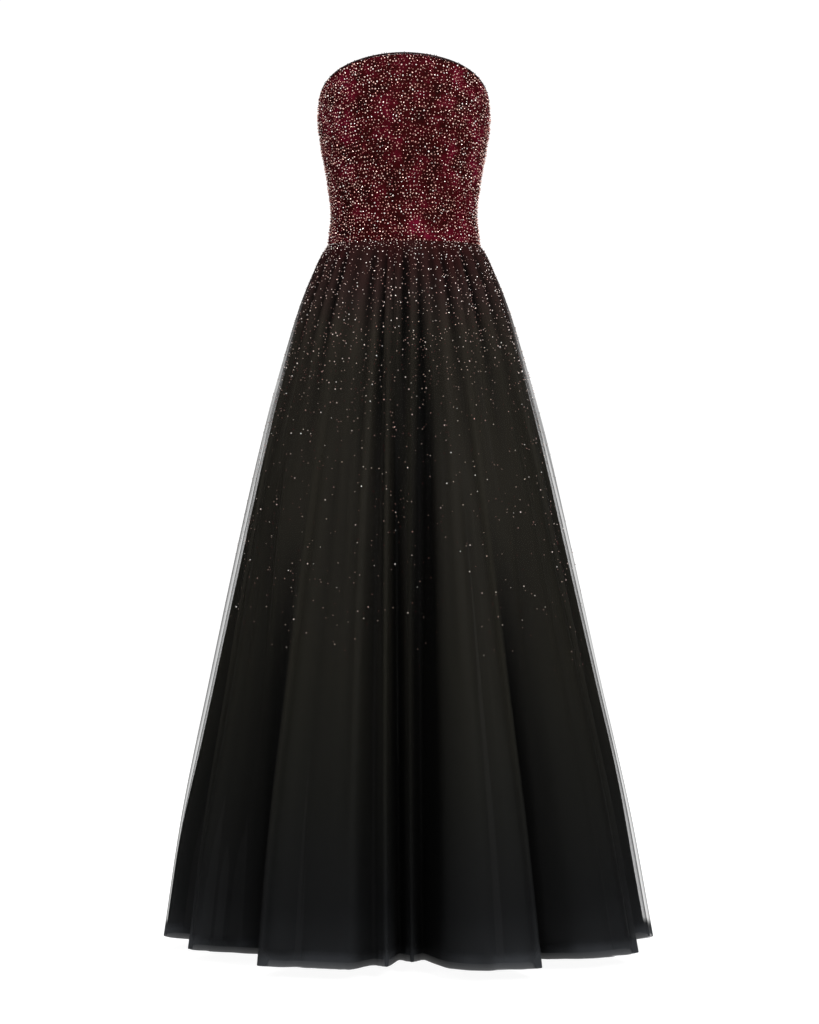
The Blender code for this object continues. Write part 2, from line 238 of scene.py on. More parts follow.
def ramp(tree, factor, stops, interpolation="LINEAR"):
    """A colour ramp with stops of (place, colour)."""
    node = add_node(tree, "ShaderNodeValToRGB", Fac=factor)
    node.color_ramp.interpolation = interpolation
    elements = node.color_ramp.elements
    while len(elements) < len(stops):
        elements.new(0.5)
    for element, (place, colour) in zip(elements, stops):
        element.position = place
        element.color = (*colour, 1)
    return node.outputs["Color"]


def place_in(tree):
    """Where each point of the piece lies, in metres."""
    return add_node(tree, "ShaderNodeTexCoord").outputs["Object"]


def part_of(tree, where, axis):
    """One coordinate of a place."""
    return add_node(tree, "ShaderNodeSeparateXYZ", Vector=where).outputs[axis]


def noise(tree, where, **inputs):
    """Soft random patches over those places, from 0 to 1."""
    return add_node(tree, "ShaderNodeTexNoise", Vector=where, **inputs).outputs["Fac"]


def paint(tree, shader, colour):
    """Gives the shader its colour."""
    tree.links.new(colour, shader.inputs["Base Color"])


def relief(tree, shader, height, strength, distance):
    """Fine relief of the cloth's face, by the height given, up to that distance."""
    bump = add_node(tree, "ShaderNodeBump", Strength=strength, Distance=distance, Height=height)
    tree.links.new(bump.outputs["Normal"], shader.inputs["Normal"])


def satin_floats(tree, where):
    """Long floats of satin's warp, down the cloth."""
    drawn = add_node(tree, "ShaderNodeMapping", Vector=where, Scale=(700.0, 700.0, 90.0))
    return noise(tree, drawn.outputs[0], Scale=1.0, Detail=2.0)


def beaded_ground():
    """Burgundy net over satin, seen between the beads: near black with crimson patches, and a painted sheen
    at the sides.
    """
    made, tree, shader = new_finish("beaded_ground", 0.7)
    shader.inputs["Specular IOR Level"].default_value = 0.02
    where = place_in(tree)
    patches = noise(tree, where, Scale=30.0, Detail=5.0, Roughness=0.62)
    # Painted sheen: the ground turns redder towards the sides of the bodice, added to its own crimson
    # patches.
    aside = reckon(tree, "ABSOLUTE", part_of(tree, where, "X"))
    side_sheen = add_node(
        tree, "ShaderNodeMapRange", Value=aside, From_Min=0.07, From_Max=0.14, To_Min=-0.02, To_Max=0.07
    )
    patches_and_sheen = reckon(tree, "ADD", patches, side_sheen.outputs[0])
    stops = (
        (0.32, (0.010, 0.0011, 0.0010)),
        (0.48, (0.026, 0.0014, 0.0018)),
        (0.60, (0.058, 0.0018, 0.0062)),
        (0.78, (0.130, 0.0030, 0.0200)),
    )
    paint(tree, shader, ramp(tree, patches_and_sheen, stops))
    weave = add_node(tree, "ShaderNodeTexVoronoi", Vector=where, Scale=900.0)
    relief(tree, shader, weave.outputs["Distance"], 0.35, 0.0006)
    return made


def inner_satin():
    """Dark burgundy satin inside the bodice, with long floats down it and a little sheen."""
    made, tree, shader = new_finish("inner_satin", 0.42)
    shader.inputs["Base Color"].default_value = (0.030, 0.005, 0.008, 1)
    shader.inputs["Specular IOR Level"].default_value = 0.25
    shader.inputs["Sheen Weight"].default_value = 0.04
    relief(tree, shader, satin_floats(tree, place_in(tree)), 0.2, 0.0004)
    return made


BODICE_ROWS, COLUMN_DEGREES = 48, 2.0
NOTCH_SHARE = 0.07  # how far down the zip's edges draw apart, as a share of the height
bodice_cloth = beaded_ground()
bodice_inside = inner_satin()
bodice_faces = {}
for panel, first, last, width, length, area in BODICE_PANELS:
    turns = np.radians(np.linspace(first, last, round((last - first) / COLUMN_DEGREES) + 1))
    shares = np.linspace(1, 0, BODICE_ROWS + 1)
    outer, along, outward = framed(bodice_point, turns, shares)
    gap = SEAM_GAP + (NOTCH_WIDTH - SEAM_GAP) * np.clip(1 - (1 - shares) / NOTCH_SHARE, 0, 1)
    for column, way, at_zip in ((0, 1, first == -180), (-1, -1, last == 180)):
        if at_zip:
            outer[:, column] += way * along[:, column] * gap[:, None] / 2
    inner = outer - outward * BODICE_WALL
    uv = np.stack(np.meshgrid(turns, shares), axis=-1)
    shell = cloth_mesh("bodice_" + panel + "_cloth", outer, inner, uv)
    made = piece("bodice_" + panel + "_cloth", shell, bodice_cloth, bodice_inside)
    inner_first = (outer.shape[0] - 1) * (outer.shape[1] - 1)
    for face in shell.polygons[inner_first : 2 * inner_first]:
        face.material_index = 1
    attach(made, "root")
    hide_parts("bodice_" + panel)
    bodice_faces[panel] = outer

# Top binding
# A bias strip of dark satin, rolled over the raw top edge of the bodice and slip-stitched down inside it.
# It puckers a little along its run, and it is open at the zip.
BINDING_RADIUS = 0.0016
BINDING_SIDES = 12
PUCKER_DEPTH, PUCKER_PITCH, PUCKER_SWELL = 0.07, 2.1, 0.37  # share of the radius, and turns in each degree


def rolled_edge():
    """Dark satin of the binding."""
    made, tree, shader = new_finish("binding_satin", 0.5)
    shader.inputs["Specular IOR Level"].default_value = 0.15
    rub = noise(tree, place_in(tree), Scale=160.0, Detail=2.0)
    paint(tree, shader, ramp(tree, rub, ((0.35, (0.006, 0.0015, 0.002)), (0.65, (0.016, 0.003, 0.004)))))
    relief(tree, shader, rub, 0.3, 0.0005)
    return made


def tube_mesh(name, path, radii, sides):
    """A closed round tube along a path, its radius given at each point."""
    path = np.asarray(path, float)
    ways = np.gradient(path, axis=0)
    ways /= np.linalg.norm(ways, axis=1, keepdims=True)
    side = np.cross(ways, (0, 0, 1))
    side /= np.linalg.norm(side, axis=1, keepdims=True)
    up = np.cross(side, ways)
    turns = np.linspace(0, 2 * math.pi, sides, endpoint=False)
    ring = side[:, None] * np.cos(turns)[None, :, None] + up[:, None] * np.sin(turns)[None, :, None]
    points = path[:, None] + ring * np.broadcast_to(radii, len(path))[:, None, None]
    index = np.arange(len(path) * sides).reshape(len(path), sides)
    beside = np.roll(index, -1, axis=1)
    quads = np.stack([index[:-1], index[1:], beside[1:], beside[:-1]], axis=-1).reshape(-1, 4).tolist()
    caps = [index[0].tolist(), index[-1][::-1].tolist()]
    mesh = bpy.data.meshes.new(name)
    mesh.from_pydata(points.reshape(-1, 3).tolist(), [], quads + caps)
    mesh.shade_smooth()
    mesh.update()
    return mesh


turns = np.radians(np.linspace(-180, 180, 361))
edge, _, edge_outward = framed(bodice_point, turns, np.array([1.0]))
edge, edge_outward = edge[0], edge_outward[0]
edge_way = np.gradient(edge, axis=0)
edge_up = np.cross(edge_outward, edge_way)
edge_up /= np.linalg.norm(edge_up, axis=1, keepdims=True)
edge_path = edge - edge_outward * BODICE_WALL / 2 + edge_up * (SEAM_GAP + BINDING_RADIUS)
open_at_zip = (np.abs(edge_path[:, 0]) < NOTCH_WIDTH / 2) & (edge_path[:, 1] > 0)
edge_path = edge_path[~open_at_zip]
run = np.arange(len(edge_path))
puckers = 1 + PUCKER_DEPTH * np.sin(run * PUCKER_PITCH) * np.sin(run * PUCKER_SWELL)
strip = tube_mesh("top_binding_strip", edge_path, BINDING_RADIUS * puckers, BINDING_SIDES)
binding = piece("top_binding_strip", strip, rolled_edge())
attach(binding, "root")
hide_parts("top_binding")

# Skirts' form
# Front and backs of each skirt are gathered into the waist seam and fall in deep pipe folds, uneven round
# the hem. Tulle and lining fold together, and fine gathers run out of the seam between the large folds.
SKIRT_LENGTH = WAIST_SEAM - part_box("tulle_front")[0].z
SKIRT_SECTIONS = (
    # drop, half width, front depth, back depth, distance in to the lining's outer face
    (0.000, 0.1235, 0.0950, 0.0880, 0.0015),
    (0.012, 0.1330, 0.1030, 0.0970, 0.0035),
    (0.040, 0.1465, 0.1130, 0.1120, 0.0055),
    (0.095, 0.1690, 0.1310, 0.1360, 0.0075),
    (0.180, 0.1956, 0.1560, 0.1660, 0.0090),
    (0.310, 0.2321, 0.1880, 0.2020, 0.0105),
    (0.490, 0.2733, 0.2250, 0.2430, 0.0115),
    (0.710, 0.3215, 0.2690, 0.2890, 0.0105),
    (0.930, 0.3690, 0.3070, 0.3300, 0.0095),
    (SKIRT_LENGTH, 0.4015, 0.3310, 0.3560, 0.0090),
)
HEM_LEAN, LEAN_POWER = 0.0075, 3  # how far the hem swings to the wearer's left, and how late
FOLD_DRIFT = 0.6  # power at which folds drift from their angle at the waist to that at the hem
FOLDS = (
    # angle at the waist, angle at the hem, reach at the hem as a share of the outline, drop where it starts
    (-180.0, -180.0, 0.90, 0.15),
    (-172.0, -170.0, 1.00, 0.15),
    (-163.0, -158.0, 0.96, 0.15),
    (-154.0, -148.0, 1.00, 0.20),
    (-146.0, -139.0, 0.78, 0.30),
    (-138.0, -131.0, 0.92, 0.30),
    (-129.0, -122.0, 1.00, 0.30),
    (-119.0, -112.0, 0.80, 0.35),
    (-109.0, -103.0, 0.93, 0.30),
    (-92.0, -92.0, 1.00, 0.20),
    (-79.0, -80.0, 0.85, 0.35),
    (-68.0, -67.5, 0.94, 0.30),
    (-58.0, -60.0, 0.88, 0.30),
    (-50.0, -51.0, 0.79, 0.45),
    (-43.0, -43.5, 0.74, 0.45),
    (-34.5, -34.5, 1.00, 0.40),
    (-25.5, -22.0, 0.955, 0.12),
    (-18.5, -14.0, 0.95, 0.30),
    (-12.5, -9.5, 0.82, 0.05),
    (-8.0, -5.7, 0.85, 0.05),
    (-3.6, -2.9, 0.67, 0.03),
    (3.5, 1.1, 0.72, 0.03),
    (10.5, 5.0, 0.67, 0.03),
    (17.0, 9.8, 0.90, 0.05),
    (23.0, 18.0, 1.00, 0.20),
    (29.0, 29.5, 1.015, 0.30),
    (35.5, 35.0, 0.76, 0.45),
    (41.0, 40.5, 0.85, 0.45),
    (50.0, 52.0, 0.97, 0.30),
    (61.0, 62.5, 1.01, 0.20),
    (73.0, 77.0, 0.85, 0.25),
    (90.0, 92.0, 1.00, 0.20),
    (103.0, 104.0, 0.92, 0.30),
    (113.0, 113.0, 0.80, 0.35),
    (123.0, 123.0, 1.00, 0.30),
    (132.0, 132.0, 0.93, 0.30),
    (141.0, 140.0, 0.78, 0.30),
    (152.0, 150.0, 1.00, 0.20),
    (163.0, 160.0, 0.97, 0.15),
    (172.0, 170.5, 1.00, 0.15),
)
RIGHT_SIDE_ROW, LEFT_SIDE_ROW = 9, 31
GATHERS = 30  # large gathers round the waist
GATHER_UNEVEN, GATHER_CHANGE = 0.25, 2.4  # how much they differ, and how fast from one to the next
FINE_GATHERS = 3  # to each large one
FINE_SWAY, FINE_SWAY_PITCH = 0.12, 1.7  # how unevenly the fine ones are spaced
FINE_MEAN, FINE_VARIES, FINE_CHANGE, FINE_PHASE = 0.6, 0.4, 0.9, 1.1  # how much they differ in depth
GATHER_DEPTH = (
    # drop, depth of the large gathers, depth of the fine ones between them, as shares of the outline
    (0.000, 0.000, 0.000),
    (0.012, 0.020, 0.006),
    (0.040, 0.045, 0.009),
    (0.095, 0.050, 0.009),
    (0.180, 0.040, 0.006),
    (0.310, 0.018, 0.003),
    (0.490, 0.000, 0.001),
    (SKIRT_LENGTH, 0.000, 0.000),
)
CREASES = (
    # row of FOLDS that it follows, half width in rows, depth in metres, drops where it starts and ends
    (9.6, 0.16, 0.0040, 0.30, 1.30),
    (10.5, 0.12, 0.0030, 0.20, 0.95),
    (11.6, 0.15, 0.0045, 0.45, 1.30),
    (12.4, 0.18, 0.0050, 0.25, 1.30),
    (13.3, 0.14, 0.0040, 0.50, 1.30),
    (15.6, 0.15, 0.0050, 0.25, 1.30),
    (16.2, 0.10, 0.0025, 0.10, 0.70),
    (16.7, 0.16, 0.0050, 0.15, 1.05),
    (17.5, 0.12, 0.0035, 0.30, 1.30),
    (18.6, 0.12, 0.0030, 0.10, 0.80),
    (22.7, 0.16, 0.0050, 0.10, 1.30),
    (23.5, 0.12, 0.0035, 0.20, 0.75),
    (24.3, 0.18, 0.0065, 0.30, 1.30),
    (24.8, 0.10, 0.0030, 0.15, 0.90),
    (27.3, 0.15, 0.0040, 0.35, 1.30),
    (28.4, 0.14, 0.0045, 0.20, 1.30),
    (29.5, 0.16, 0.0050, 0.40, 1.30),
    (30.4, 0.12, 0.0030, 0.25, 0.90),
    (31.6, 0.15, 0.0045, 0.30, 1.30),
    (32.6, 0.12, 0.0035, 0.20, 1.00),
    (34.4, 0.16, 0.0050, 0.35, 1.30),
    (35.3, 0.12, 0.0035, 0.25, 0.85),
    (37.4, 0.16, 0.0050, 0.20, 1.30),
    (38.5, 0.14, 0.0040, 0.30, 1.30),
    (39.4, 0.12, 0.0030, 0.15, 0.95),
    (1.5, 0.15, 0.0045, 0.25, 1.30),
    (2.5, 0.12, 0.0035, 0.20, 1.00),
    (3.4, 0.15, 0.0040, 0.40, 1.30),
    (5.5, 0.14, 0.0045, 0.30, 1.30),
    (6.4, 0.16, 0.0050, 0.25, 1.30),
    (7.5, 0.12, 0.0035, 0.35, 1.10),
    (8.4, 0.15, 0.0040, 0.30, 1.30),
)
CREASE_OPENS, CREASE_CLOSES = 0.18, 0.2  # drops over which a crease deepens and dies out
skirt_half_width, skirt_front, skirt_back, lining_inset = columns_of(SKIRT_SECTIONS)
gather_depth, fine_gather_depth = columns_of(GATHER_DEPTH)


def closed_curve(values, turn=0.0):
    """A smooth curve through values at 0, 1, 2 and so on, which comes round again with turn added."""
    wrapped = [values[-1] - turn, *values, values[0] + turn, values[1] + turn]
    return smooth_curve(np.arange(-1, len(values) + 2), wrapped)


waist_angles, hem_angles, reaches, starts = zip(*FOLDS)
waist_angle = closed_curve(waist_angles, turn=360.0)
hem_angle = closed_curve(hem_angles, turn=360.0)
hem_reach = closed_curve(reaches)
fold_start = closed_curve(starts)


def ease(x, low, high):
    """Rises smoothly from 0 at low to 1 at high."""
    t = np.clip((x - low) / (high - low), 0, 1)
    return t * t * (3 - 2 * t)


def fold_reach(row, drop):
    """How far out the tulle stands at that place round the skirt, as a share of the outline."""
    start = fold_start(row)
    grown = np.maximum(0.0, drop - start) / (SKIRT_LENGTH - start)
    fold = (1 - hem_reach(row)) * np.sin(grown * math.pi / 2)
    gather = row / len(FOLDS) * GATHERS
    uneven = 1 - GATHER_UNEVEN * (1 + np.sin(GATHER_CHANGE * np.floor(gather)))
    pleat = 0.5 - 0.5 * np.cos(2 * math.pi * gather)
    swayed = gather + FINE_SWAY * np.sin(FINE_SWAY_PITCH * gather)
    fine = 0.5 - 0.5 * np.cos(2 * math.pi * FINE_GATHERS * swayed)
    fine = fine * (FINE_MEAN + FINE_VARIES * np.sin(FINE_CHANGE * gather + FINE_PHASE))
    return 1 - fold - gather_depth(drop) * uneven * pleat - fine_gather_depth(drop) * fine


def crease_depth(row, drop):
    """Depth of the soft troughs between the large folds, in metres."""
    depth = np.zeros(np.broadcast(row, drop).shape)
    for place, half_width, deep, start, end in CREASES:
        aside = (row - place) / half_width
        run = ease(drop, start, start + CREASE_OPENS) * (1 - ease(drop, end - CREASE_CLOSES, end))
        depth += deep * np.exp(-aside * aside) * run
    return depth


def skirt_point(row, drop, inset=0.0, creased=1.0):
    """Points of the skirt, at places along FOLDS and drops below the waist seam."""
    fallen = (drop / SKIRT_LENGTH) ** FOLD_DRIFT
    angle = np.radians(waist_angle(row) + (hem_angle(row) - waist_angle(row)) * fallen)
    depth = np.where(np.cos(angle) > 0, skirt_front(drop), skirt_back(drop))
    reach = fold_reach(row, drop)
    x = reach * skirt_half_width(drop) * np.sin(angle)
    y = -reach * depth * np.cos(angle)
    nearer = 1 - (inset + creased * crease_depth(row, drop)) / np.hypot(x, y)
    lean = HEM_LEAN * (drop / SKIRT_LENGTH) ** LEAN_POWER
    return np.stack([x * nearer + lean, y * nearer, WAIST_SEAM - drop], axis=-1)


ROW_CROWDING = 1.35  # power that brings rows closer together near the waist seam, where the gathers turn


def drops_to(length, rows):
    """Drops from the waist seam to a hem."""
    return length * np.linspace(0, 1, rows + 1) ** ROW_CROWDING


SKIRT_PANELS = (
    # name, first and last row of FOLDS
    ("back_right", 0, RIGHT_SIDE_ROW),
    ("front", RIGHT_SIDE_ROW, LEFT_SIDE_ROW),
    ("back_left", LEFT_SIDE_ROW, len(FOLDS)),
)


def skirt_grid(surface, first, last, columns_per_row, drops):
    """Points of one skirt panel and the ways out of it. The panels meet at their seams."""
    rows = np.linspace(first, last, (last - first) * columns_per_row + 1)
    points, _, outward = framed(surface, rows, drops)
    uv = np.stack(np.meshgrid(rows / len(FOLDS), drops), axis=-1)
    return points, outward, uv


# Painted shade for the lining and the tulle, from how far each place lies behind the ridges beside it.
ROUND_SAMPLES = 16  # samples to a row of FOLDS
CREASE_SHADE = 4.0  # how much darker a metre of crease is than the same share of the outline
INSIDE_SHADE = 0.15  # how much of the shade comes from lying in from the outline
DARKEST_AT_WAIST, DARKEST_GROWS = 0.055, 0.14  # how deep the darkest valleys are, as shares of the outline


def valley_depth(drop):
    """How far the cloth lies behind the ridges on either side, all round, as shares of the outline."""
    rows = np.arange(len(FOLDS) * ROUND_SAMPLES) / ROUND_SAMPLES
    stands = fold_reach(rows, drop) - CREASE_SHADE * crease_depth(rows, drop)
    near = range(-ROUND_SAMPLES, ROUND_SAMPLES + 1)
    ridges = np.max([np.roll(stands, k) for k in near], axis=0)
    ridges = np.mean([np.roll(ridges, k) for k in near], axis=0)
    return rows, np.maximum(ridges - stands, 0) + INSIDE_SHADE * np.maximum(1 - stands, 0)


def store(mesh, name, values):
    """Keeps a number for each point of the mesh."""
    attribute = mesh.attributes.new(name, "FLOAT", "POINT")
    attribute.data.foreach_set("value", np.asarray(values, np.float32).ravel())


def add_shade(mesh, uv):
    """Stores, for the painted shade, how deep in a fold each point lies: 0 on a ridge, 1 in the deepest
    valley.
    """
    values = []
    for places in uv:
        drop = places[0, 1]
        rows, deep = valley_depth(drop)
        here = np.interp(places[:, 0] * len(FOLDS), rows, deep, period=len(FOLDS))
        values.append(np.clip(here / (DARKEST_AT_WAIST + DARKEST_GROWS * drop / SKIRT_LENGTH), 0, 1))
    values = np.concatenate(values)
    store(mesh, "fold_shade", np.concatenate([values] * (len(mesh.vertices) // len(values))))


def stored(tree, name):
    """A number that the mesh keeps for each point."""
    return add_node(tree, "ShaderNodeAttribute", {"attribute_name": name}).outputs["Fac"]


def shaded(tree, colour):
    """Painted shade and light: the colour darker the deeper in a fold, down to a tenth, and lighter on the
    ridges.
    """
    fold_shade = stored(tree, "fold_shade")
    kept = add_node(
        tree, "ShaderNodeMapRange", Value=fold_shade, From_Min=0.08, From_Max=0.9, To_Min=1.3, To_Max=0.10
    )
    dimmed = add_node(
        tree, "ShaderNodeVectorMath", {"operation": "SCALE"}, _0=colour, Scale=kept.outputs[0]
    )
    return dimmed.outputs[0]


# Lining
# Opaque black satin, cut as a front and two backs, sewn together at the sides and caught into the waist
# seam with the tulle. It is turned up and machine hemmed 9 mm above the tulle.
LINING_LENGTH = WAIST_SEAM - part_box("lining_front")[0].z
LINING_WALL = 0.0007
LINING_HEM, HEM_STEP, HEM_THICKER = 0.012, 0.004, 0.0006  # the turned-up hem
LINING_CREASED = 0.8  # how deep its creases are, beside the tulle's
LINING_COLUMNS, LINING_ROWS = 8, 60
HANGS = (
    # share by which it hangs out, and the rows where that starts, is full, fades and ends
    (0.60, 6.5, 8.5, 12.0, 14.0),
    (-0.45, 28.5, 30.0, 32.0, 33.5),
)
HANG_STARTS, HANG_FULL = 0.80, 1.02  # drops
LINING_CUT = {
    # width and length of the cloth that each panel is cut from, and the area of the panel
    "front": (1.47, 1.15, 1.06),
    "back_right": (0.71, 1.15, 0.52),
    "back_left": (0.71, 1.15, 0.52),
}


def black_satin():
    """Matt black satin: near black above, a little cooler and lighter at the hem, with painted shade in the
    folds.
    """
    made, tree, shader = new_finish("black_satin", 0.6)
    shader.inputs["Specular IOR Level"].default_value = 0.08
    where = place_in(tree)
    drop = reckon(tree, "DIVIDE", part_of(tree, where, "Z"), -SKIRT_LENGTH)
    stops = (
        (0.000, (0.0200, 0.0024, 0.0024)),
        (0.025, (0.0125, 0.0042, 0.0038)),
        (0.070, (0.0110, 0.0062, 0.0054)),
        (0.140, (0.0110, 0.0092, 0.0068)),
        (0.380, (0.0103, 0.0093, 0.0068)),
        (0.600, (0.0080, 0.0075, 0.0056)),
        (0.780, (0.0053, 0.0053, 0.0045)),
        (0.920, (0.0041, 0.0043, 0.0045)),
        (0.975, (0.0072, 0.0076, 0.0082)),
        (1.000, (0.0160, 0.0172, 0.0190)),
    )
    # Painted shade in the folds and a painted lift on the ridges, over the colour down the lining.
    paint(tree, shader, shaded(tree, ramp(tree, drop, stops)))
    relief(tree, shader, satin_floats(tree, where), 0.15, 0.0004)
    return made


def way_in(row, drop):
    """Distance in to the lining. Low down it hangs out to the wearer's right, and in on the left."""
    out = sum(share * ease(row, a, b) * (1 - ease(row, c, d)) for share, a, b, c, d in HANGS)
    return lining_inset(drop) * (1 - out * ease(drop, HANG_STARTS, HANG_FULL))


def lining_point(row, drop):
    """Points of the lining's outer face."""
    return skirt_point(row, drop, way_in(row, drop), LINING_CREASED)


lining_finish = black_satin()
lining_drops = drops_to(LINING_LENGTH, LINING_ROWS)
for panel, first, last in SKIRT_PANELS:
    outer, outward, uv = skirt_grid(lining_point, first, last, LINING_COLUMNS, lining_drops)
    fold_top = LINING_LENGTH - LINING_HEM
    hem_fold = HEM_THICKER * ease(lining_drops, fold_top - HEM_STEP, fold_top)
    inner = outer - outward * (LINING_WALL + hem_fold[:, None, None])
    mesh = cloth_mesh("lining_" + panel + "_satin", outer, inner, uv)
    made = piece("lining_" + panel + "_satin", mesh, lining_finish)
    add_shade(mesh, uv)
    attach(made, "root")
    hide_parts("lining_" + panel)
    width, length, area = LINING_CUT[panel]

# Tulle skirt
# Two layers of soft black net, each cut as a front and two backs. The upper edge is dyed burgundy to match
# the bodice and fades to black over the hip. The hem is a raw cut edge.
TULLE_LAYERS = (
    # name, columns to a fold, rows, share of the way in to the lining, creasing, depth and pitch of its
    # ripples, share of it that its threads cover
    ("outer", 16, 100, 0.00, 1.0, 0.0012, 17.0, 0.20),
    ("under", 12, 80, 0.45, 1.4, 0.0014, 13.0, 0.26),
)
RIPPLE_SWAY, RIPPLE_SWAY_PITCH, RIPPLE_SLANT = 2.0, 2.3, 1.5  # how the ripples wander round the skirt
SWELL_MEAN, SWELL_VARIES, SWELL_PITCH, SWELL_SLANT = 0.7, 0.3, 5.1, 3.0  # how their depth varies
RIPPLE_STARTS, RIPPLE_FULL = 0.08, 0.45  # drops
DYE_DRIFT = 0.10  # how far the dye wanders up and down, as a share of the skirt's length
CREST_COVER = 0.55  # how much more of the net is thread where it turns over a ridge
CREST_STARTS, CREST_FULL = 0.15, 0.4  # drops
TULLE_CUT = {
    # width and length of the cloth that each panel is cut from, and the area of the panel
    "front": (1.51, 1.16, 1.12),
    "back_right": (0.73, 1.16, 0.54),
    "back_left": (0.73, 1.16, 0.54),
}


def soft_net(name, coverage):
    """Sheer net whose threads cover that share of it. Its dye fades down the skirt; painted shade darkens
    the folds.
    """
    made, tree, shader = new_finish(name, 0.9)
    shader.inputs["Specular IOR Level"].default_value = 0.05
    where = place_in(tree)
    height = part_of(tree, where, "Z")
    drift = noise(tree, where, Scale=9.0, Detail=2.0)
    drifted = reckon(tree, "MULTIPLY_ADD", drift, DYE_DRIFT, -DYE_DRIFT / 2)
    share = reckon(tree, "MULTIPLY_ADD", height, -1 / SKIRT_LENGTH, drifted)
    stops = (
        (0.000, (0.0140, 0.0019, 0.0020)),
        (0.025, (0.0145, 0.0052, 0.0047)),
        (0.070, (0.0165, 0.0093, 0.0081)),
        (0.140, (0.0176, 0.0147, 0.0110)),
        (0.230, (0.0135, 0.0121, 0.0089)),
        (0.380, (0.0118, 0.0107, 0.0079)),
        (0.600, (0.0092, 0.0086, 0.0064)),
        (0.780, (0.0062, 0.0062, 0.0052)),
        (0.920, (0.0048, 0.0050, 0.0053)),
        (0.975, (0.0085, 0.0090, 0.0097)),
        (1.000, (0.0215, 0.0230, 0.0255)),
    )
    # Painted shade in the folds and a painted lift on the ridges, over the dye's fade down the skirt.
    paint(tree, shader, shaded(tree, ramp(tree, share, stops)))
    fallen = reckon(tree, "MULTIPLY", height, -1 / SKIRT_LENGTH)
    cover = (
        # share of the way down, share of the net that is thread
        (0.000, 0.94),
        (0.050, 0.88),
        (0.110, 0.66),
        (0.200, coverage + 0.10),
        (0.300, coverage),
        (0.976, coverage),
        (0.986, 0.88),
        (0.992, 0.88),
        (1.000, 0.74),
    )
    covered = ramp(tree, fallen, [(place, (level,) * 3) for place, level in cover])
    on_crest = stored(tree, "on_crest")
    denser = reckon(tree, "MULTIPLY_ADD", on_crest, CREST_COVER, covered, use_clamp=True)
    tree.links.new(denser, shader.inputs["Alpha"])
    net = {"feature": "DISTANCE_TO_EDGE"}
    threads = add_node(tree, "ShaderNodeTexVoronoi", net, Vector=where, Scale=700.0)
    relief(tree, shader, threads.outputs["Distance"], 0.2, 0.0003)
    return made


around = range(len(FOLDS))
CREST_ROWS = [k for k in around if reaches[k - 1] <= reaches[k] > reaches[(k + 1) % len(FOLDS)]]
CREST_HALF_WIDTH = 0.0100  # of the denser line where the net turns over a ridge


def crest_lines(rows, drop):
    """1 along the ridges between large folds and 0 away from them, where the net hangs single."""
    aside = np.min([np.abs(rows - crest) for crest in CREST_ROWS], axis=0)
    metres = aside * math.tau * skirt_half_width(drop) / len(FOLDS)
    return np.clip(1 - metres / CREST_HALF_WIDTH, 0, 1) * ease(drop, CREST_STARTS, CREST_FULL)


tulle_faces = {}
for layer, columns, rows, share_in, creased, rippled, pitch, coverage in TULLE_LAYERS:

    def layer_point(row, drop):
        """Points of this layer, with its own ripples."""
        sway = RIPPLE_SWAY * np.sin(row * RIPPLE_SWAY_PITCH)
        wave = np.sin(row * pitch + sway + RIPPLE_SLANT * drop)
        wave = wave * (SWELL_MEAN + SWELL_VARIES * np.sin(row * SWELL_PITCH + SWELL_SLANT * drop))
        ripple = rippled * (1 + wave) * ease(drop, RIPPLE_STARTS, RIPPLE_FULL)
        return skirt_point(row, drop, share_in * way_in(row, drop) + ripple, creased)

    net_finish = soft_net("tulle_" + layer, coverage)
    drops = drops_to(SKIRT_LENGTH, rows)
    for panel, first, last in SKIRT_PANELS:
        points, _, uv = skirt_grid(layer_point, first, last, columns, drops)
        name = "tulle_" + layer + "_" + panel
        mesh = cloth_mesh(name, points, uv=uv)
        made = piece(name, mesh, net_finish)
        add_shade(mesh, uv)
        store(mesh, "on_crest", crest_lines(uv[..., 0] * len(FOLDS), uv[..., 1]))
        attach(made, "root")
        width, length, area = TULLE_CUT[panel]
        if layer == "outer":
            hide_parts("tulle_" + panel)
            tulle_faces[panel] = (points, uv)

# Beads
# Faceted glass beads of about 1 to 3 mm, each sewn down by hand: close together over the bodice and the top
# binding, thinning out from the waist to mid-skirt. Clear and silver-lined ones catch the light among rose,
# crimson and burgundy.
BODICE_SEED, BINDING_SEED, SKIRT_SEED = 11, 23, 31
TURN_SEED, TONE_SEED = 5, 9


def glass_beads(name, stops, coat):
    """Glass beads, each with its own tone out of the mix. coat is how much clear glass lies over it."""
    made, tree, shader = new_finish(name, 0.24, metallic=0.4)
    shader.inputs["Coat Weight"].default_value = coat
    shader.inputs["Specular IOR Level"].default_value = coat
    paint(tree, shader, ramp(tree, stored(tree, "bead_tone"), stops, "CONSTANT"))
    return made


def geometry_tree(name, **sockets):
    """A new Geometry Nodes tree with named inputs of the kinds given, and the outputs that bring them."""
    tree = bpy.data.node_groups.new(name, "GeometryNodeTree")
    tree.interface.new_socket("Geometry", in_out="INPUT", socket_type="NodeSocketGeometry")
    for label, kind in sockets.items():
        label = label.replace("_", " ")
        tree.interface.new_socket(label, in_out="INPUT", socket_type="NodeSocket" + kind)
    tree.interface.new_socket("Geometry", in_out="OUTPUT", socket_type="NodeSocketGeometry")
    return tree, tree.nodes.new("NodeGroupInput").outputs


def finish_tree(tree, placed, material):
    """Turns a tree's instances into one plain mesh of that material, and gives it out."""
    real = add_node(tree, "GeometryNodeRealizeInstances", Geometry=placed)
    finished = add_node(tree, "GeometryNodeSetMaterial", Geometry=real.outputs[0], Material=material)
    add_node(tree, "NodeGroupOutput", Geometry=finished.outputs[0])


